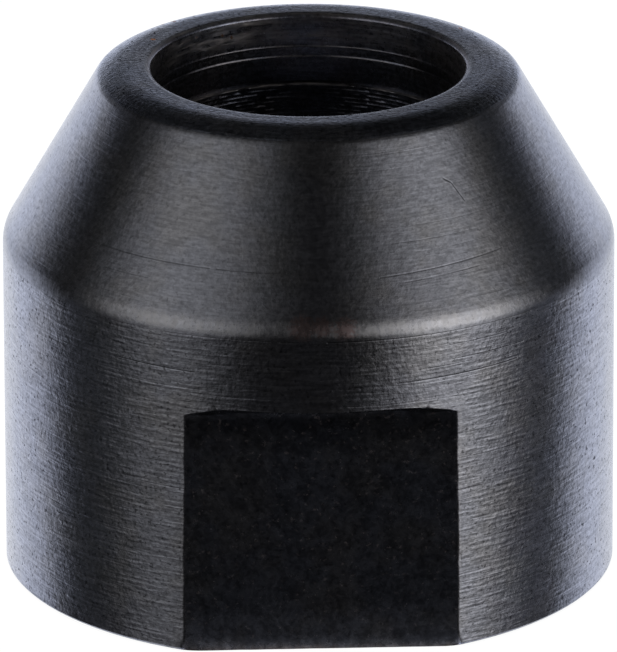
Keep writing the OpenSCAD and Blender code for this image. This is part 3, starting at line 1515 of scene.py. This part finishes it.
    def painted_light_and_shade_at(self, place: Vector, radius: float) -> float:
        """Painted light and shade on the sheen: painted shade deep in the bore, on the base chamfer and at
        the sides of the shoulder's foot, painted light towards the foot of the flats, and painted light and
        shade on the nose face and elsewhere on the flats.

        Args:
            place: A point of the surface.
            radius: Its distance from the axis.

        Returns:
            Factor on the sheen, 1 where no light or shade is painted.
        """
        nut = self.nut
        if nut.in_bore(place, radius):
            return self.bore_painted_light_and_shade(place)
        down = nut.height - place.z
        # Painted light and shade on the nose face: a little brighter all round, and towards the front
        # brighter on the left and darker on the right.
        if down < self.face_band:
            front = (min(place.y, 0.0) / radius) ** 2 * self.FACE_EDGE.at(down)
            return self.face_painted_light - self.face_light_lean * place.x / radius * front
        # Painted shade on the base chamfer.
        if place.z < nut.base_chamfer - nut.TINY and radius > nut.body_r - self.chamfer_band:
            return self.chamfer_painted_shade
        # Painted shade on the shoulder towards the sides of the nut.
        if place.z > nut.shoulder_foot - self.shoulder_slack:
            foot = self.CONE_FOOT.at(place.z - nut.shoulder_foot)
            return 1.0 - foot * self.CONE_SIDES.at(self.aside(place))
        on_flat = radius < nut.body_r - self.wall_slack and abs(place.y) > nut.flat_y - self.flat_slack
        return self.flat_painted_light_and_shade(place) if on_flat and place.z < nut.flat_h else 1.0

    def bore_painted_light_and_shade(self, place: Vector) -> float:
        """Painted light and shade on the sheen in the bore: near the top painted light at the sides and
        painted shade in the middle, deeper down painted shade that is darkest in the middle, and painted
        shade on the step at the sides.

        Args:
            place: A point of the surface.

        Returns:
            The factor.
        """
        depth = self.nut.height - place.z
        middle = self.BORE_MIDDLE.at(abs(place.x))
        step = self.STEP_BAND.at(abs(depth - self.step_middle)) * self.STEP_ENDS.at(abs(place.x))
        top = (self.top_gain - self.top_dip * middle) * self.BORE_TOP.at(depth)
        deep = (self.deep_drop + self.deep_dip * middle) * self.BORE_DEEP.at(depth)
        return 1.0 + top - deep - step

    def flat_painted_light_and_shade(self, place: Vector) -> float:
        """Painted light and shade on the sheen of a flat: painted light towards its foot, full on the front
        flat and weaker on the rear one, and in the corner under its lip, and painted shade towards its top.

        Args:
            place: A point of the surface.

        Returns:
            The factor.
        """
        foot = self.FLAT_LOW.at(place.z) + self.FLAT_FOOT.at(place.z)
        corner = self.FLAT_CORNER.at(place.z - self.nut.fillet_foot)
        return 1.0 + foot * (1.0 if place.y < 0.0 else self.rear_share) - self.FLAT_TOP.at(place.z) + corner


@dataclass(frozen=True)
class Glow:
    """A soft box of the studio, as reflections see it.

    Attributes:
        azimuth: Direction of its middle at the horizon, from the front towards +X, in degrees.
        lean: How far its middle moves sideways with each degree of elevation, in degrees.
        elevation: Height of its middle above the horizon, in degrees.
        spread_across: How far it reaches to either side at its foot, in degrees.
        flare: How much wider it gets with each degree above its foot, in degrees.
        spread_up: How far it reaches up and down, in degrees.
        bow: How far its middle bows sideways just above the horizon, in degrees.
        colour: Its colour and strength.
    """

    azimuth: float
    lean: float
    elevation: float
    spread_across: float
    flare: float
    spread_up: float
    bow: float
    colour: Colour


class StudioLight:
    """The world that the steel mirrors: a dark front with two soft boxes, and a white sweep behind.

    The fades whose names end in TOP or FOOT follow the elevation of a direction. The others follow its
    azimuth, which those of the sweep, the wall and PALE count from the camera's own.
    """

    GLOWS: ClassVar = (
        Glow(-57.4, 0.0, 12.4, 14.6, 0.165, 23.0, 3.0, (0.88, 0.9, 0.95)),
        Glow(54.6, 0.045, 4.0, 16.1, 0.105, 20.0, -3.0, (2.2, 2.23, 2.33)),
    )
    GLOW_FOOT: ClassVar = -20.0
    GLOW_EDGE: ClassVar = 2.55
    BOW_MIDDLE: ClassVar = 8.0
    BOW_SPREAD: ClassVar = 12.0
    FRONT_TOP: ClassVar = Fade(15.0, 45.0, 0.028, 0.012)
    SWEEP: ClassVar = Fade(101.0, 129.0, 0.0, 1.17)
    SWEEP_REAR: ClassVar = Fade(140.0, 172.0, 1.0, 0.74)
    SWEEP_DIM: ClassVar = Fade(135.0, 152.0, 0.0, 0.14)
    SWEEP_TOP: ClassVar = Fade(-1.0, 15.5, 1.0, 0.06)
    SWEEP_LAG: ClassVar = 1.2
    RIGHT_LAG: ClassVar = 0.21
    WALL: ClassVar = Fade(118.0, 150.0, 0.0, 0.12)
    WALL_TOP: ClassVar = Fade(19.0, 31.0, 1.0, 0.0)
    LEFT_SIDE: ClassVar = Fade(-70.0, -110.0, 0.0, 0.06)
    RIGHT_SIDE: ClassVar = Fade(58.0, 95.0, 0.0, 0.12)
    SIDES_TOP: ClassVar = Fade(-15.0, 8.0, 1.0, 0.0)
    FILL: ClassVar = Fade(80.0, 105.0, 0.0, 0.035)
    FILL_FOOT: ClassVar = Fade(4.0, 12.0)
    FILL_TOP: ClassVar = Fade(24.0, 40.0, 1.0, 0.0)
    PALE: ClassVar = Fade(138.0, 164.0)
    PALE_TOP: ClassVar = Fade(-14.0, -2.0, 1.0, 0.0)
    FRONT_COLOUR: ClassVar = (0.97, 0.98, 1.08)
    COOL_COLOUR: ClassVar = (0.92, 0.99, 1.2)
    PALE_COLOUR: ClassVar = (0.975, 1.005, 1.085)
    AMBIENT: ClassVar = (0.75, 0.75, 0.75, 1.0)

    def __init__(self, azimuth: float) -> None:
        """Starts the world, and the angles of the direction that it is seen in.

        Args:
            azimuth: Azimuth of the camera, from the front towards +X, in degrees.
        """
        world = bpy.data.worlds.new("studio")
        world.use_nodes = True
        bpy.context.scene.world = world
        world.node_tree.nodes.clear()
        graph = self.graph = Graph(world.node_tree)
        direction = graph.add("ShaderNodeTexCoord", {}).outputs["Generated"]
        x, y, z = graph.add("ShaderNodeSeparateXYZ", {0: direction}).outputs
        self.turn = graph.math("DEGREES", graph.math("ARCTAN2", x, graph.math("MULTIPLY", y, -1.0)))
        self.rise = graph.math("DEGREES", graph.math("ARCSINE", z))
        self.lift = graph.math("MAXIMUM", graph.math("SUBTRACT", self.rise, self.GLOW_FOOT), 0.0)
        self.off = graph.math("SUBTRACT", self.turn, azimuth)
        self.away = graph.math("ABSOLUTE", self.off)

    def glow_light(self, glow: Glow) -> Socket:
        """Light of one soft box in the direction.

        Args:
            glow: The soft box.

        Returns:
            Socket with its light.
        """
        graph, rise = self.graph, self.rise
        spread = graph.math("MULTIPLY_ADD", self.lift, glow.flare, glow.spread_across)
        middle = graph.math("MULTIPLY_ADD", rise, glow.lean, glow.azimuth)
        level = graph.math("MULTIPLY_ADD", rise, 1.0 / self.BOW_SPREAD, -self.BOW_MIDDLE / self.BOW_SPREAD)
        bowed = graph.math("EXPONENT", graph.product(level, level, -1.0))
        middle = graph.math("MULTIPLY_ADD", bowed, glow.bow, middle)
        aside = graph.math("DIVIDE", graph.math("SUBTRACT", self.turn, middle), spread)
        above = graph.math("DIVIDE", graph.math("SUBTRACT", rise, glow.elevation), glow.spread_up)
        across = graph.math("POWER", graph.math("ABSOLUTE", aside), self.GLOW_EDGE)
        gap = graph.math("MULTIPLY_ADD", above, above, across)
        return graph.scaled(glow.colour, graph.math("EXPONENT", graph.math("MULTIPLY", gap, -0.5)))

    def sweep_light(self) -> Socket:
        """Light of the white sweep behind the nut, which starts later and is dimmer on the right.

        Returns:
            Socket with the light.
        """
        graph, away, rise = self.graph, self.away, self.rise
        on_right = graph.math("GREATER_THAN", self.off, 0.0)
        lag = graph.math("MULTIPLY_ADD", graph.product(on_right, self.lift), self.RIGHT_LAG, self.SWEEP_LAG)
        onset = graph.ramp(graph.math("SUBTRACT", away, lag), self.SWEEP)
        dim = graph.product(on_right, graph.ramp(away, self.SWEEP_DIM))
        strength = graph.product(
            onset,
            graph.ramp(away, self.SWEEP_REAR),
            graph.math("SUBTRACT", 1.0, dim),
            graph.ramp(rise, self.SWEEP_TOP),
            graph.ramp(rise, self.WALL_TOP),
        )
        whiter = graph.product(graph.ramp(away, self.PALE), graph.ramp(rise, self.PALE_TOP))
        colour = graph.blend(whiter, (*self.COOL_COLOUR, 1.0), (*self.PALE_COLOUR, 1.0))
        return graph.scaled(colour, strength)

    def side_light(self) -> Socket:
        """Light of the wall above the sweep, of both sides, and of a weak fill on the right.

        Returns:
            Socket with the light.
        """
        graph, turn, rise = self.graph, self.turn, self.rise
        wall = graph.product(graph.ramp(self.away, self.WALL), graph.ramp(rise, self.WALL_TOP))
        sides = graph.math("ADD", graph.ramp(turn, self.LEFT_SIDE), graph.ramp(turn, self.RIGHT_SIDE))
        sides = graph.product(sides, graph.ramp(rise, self.SIDES_TOP))
        fill = graph.product(
            graph.ramp(turn, self.FILL),
            graph.ramp(rise, self.FILL_FOOT),
            graph.ramp(rise, self.FILL_TOP),
        )
        strength = graph.math("ADD", graph.math("ADD", wall, sides), fill)
        return graph.scaled(self.COOL_COLOUR, strength)

    def build(self) -> None:
        """Joins the lights, which only reflections see, with an even light and a white background."""
        graph = self.graph
        total = graph.scaled(self.FRONT_COLOUR, graph.ramp(self.rise, self.FRONT_TOP))
        for light in (*map(self.glow_light, self.GLOWS), self.side_light(), self.sweep_light()):
            total = graph.vector("ADD", total, light)
        path = graph.add("ShaderNodeLightPath", {}).outputs
        mirrored = graph.blend(path["Is Glossy Ray"], self.AMBIENT, total)
        shown = graph.blend(path["Is Camera Ray"], mirrored, WHITE)
        background = graph.add("ShaderNodeBackground", {"Color": shown, "Strength": 1.0})
        graph.add("ShaderNodeOutputWorld", {"Surface": background.outputs[0]})


@dataclass
class Studio:
    """Camera, floor and light. The camera's place and lens fit the outline in the photograph."""

    image_width: int = 617
    image_height: int = 652
    focal_pixels: float = 11693.2
    distance: float = 364.0
    azimuth: float = -2.45
    elevation: float = 19.887
    roll: float = 0.169
    orbit_height: float = 8.075
    aim_height: float = 7.44
    shift: float = -0.00057
    sensor: float = 36.0
    clip_start: float = 10.0
    clip_end: float = 20000.0
    floor_size: float = 4000.0
    floor_gap: float = 0.02
    floor_grey: float = 0.1
    floor_glow: float = 0.95
    lamp_size: float = 500.0
    lamp_watts: float = 1.2
    lamp_place: tuple[float, float, float] = (0.0, 100.0, 600.0)

    def place_camera(self) -> None:
        """Puts the camera where the photograph was taken from."""
        data = bpy.data.cameras.new("camera")
        data.sensor_width = self.sensor
        data.lens = self.focal_pixels * self.sensor / max(self.image_width, self.image_height)
        data.shift_x = self.shift
        data.clip_start = self.clip_start * MM
        data.clip_end = self.clip_end * MM
        camera = add_object("camera", data)
        turn, rise = math.radians(self.azimuth), math.radians(self.elevation)
        back = Vector((math.sin(turn) * math.cos(rise), -math.cos(turn) * math.cos(rise), math.sin(rise)))
        place = (Vector((0.0, 0.0, self.orbit_height)) + back * self.distance) * MM
        look = Vector((0.0, 0.0, self.aim_height)) * MM - place
        aim = look.to_track_quat("-Z", "Y").to_matrix().to_4x4()
        spun = Matrix.Rotation(math.radians(-self.roll), 4, "Z")
        camera.matrix_world = Matrix.Translation(place) @ aim @ spun
        bpy.context.scene.camera = camera

    def lay_floor(self) -> None:
        """Lays a white floor, which keeps the nut's soft shadow and is clear from below."""
        mesh = bmesh.new()
        bmesh.ops.create_grid(mesh, x_segments=1, y_segments=1, size=self.floor_size * MM / 2.0)
        data = finished_mesh("studio_floor", mesh)
        floor = add_object("studio_floor", data)
        floor.location.z = -self.floor_gap * MM
        floor.visible_glossy = False
        material = bpy.data.materials.new("white_floor")
        material.use_nodes = True
        graph = Graph(material.node_tree)
        below = graph.add("ShaderNodeNewGeometry", {}).outputs["Backfacing"]
        seen = graph.add("ShaderNodeLightPath", {}).outputs["Is Camera Ray"]
        settings = {
            "Base Color": (self.floor_grey, self.floor_grey, self.floor_grey, 1.0),
            "Roughness": 1.0,
            "Specular IOR Level": 0.0,
            "Emission Color": WHITE,
            "Emission Strength": graph.math("MULTIPLY", seen, self.floor_glow),
            "Alpha": graph.math("SUBTRACT", 1.0, below),
        }
        shader = material.node_tree.nodes["Principled BSDF"]
        for name, value in settings.items():
            graph.feed(shader.inputs[name], value)
        data.materials.append(material)

    def hang_lamp(self) -> None:
        """Hangs one broad soft lamp above the nut."""
        data = bpy.data.lights.new("overhead_softbox", "AREA")
        data.shape = "SQUARE"
        data.size = self.lamp_size * MM
        data.energy = self.lamp_watts
        lamp = add_object("overhead_softbox", data)
        lamp.location = Vector(self.lamp_place) * MM
        lamp.visible_glossy = False

    def build(self) -> None:
        """Sets up the view, the camera, the floor and the light."""
        bpy.context.scene.view_settings.view_transform = "Standard"
        self.place_camera()
        self.lay_floor()
        StudioLight(self.azimuth).build()
        self.hang_lamp()
        LOG.info("studio: camera, floor, world and lamp")


def main() -> None:
    """Builds the studio and the nut."""
    logging.basicConfig(level=logging.INFO, format="%(message)s")
    Studio().build()
    nut = ColletNut.from_frame(frame["record"])
    nut.dress(nut.build())


if __name__ == "__main__":
    main()
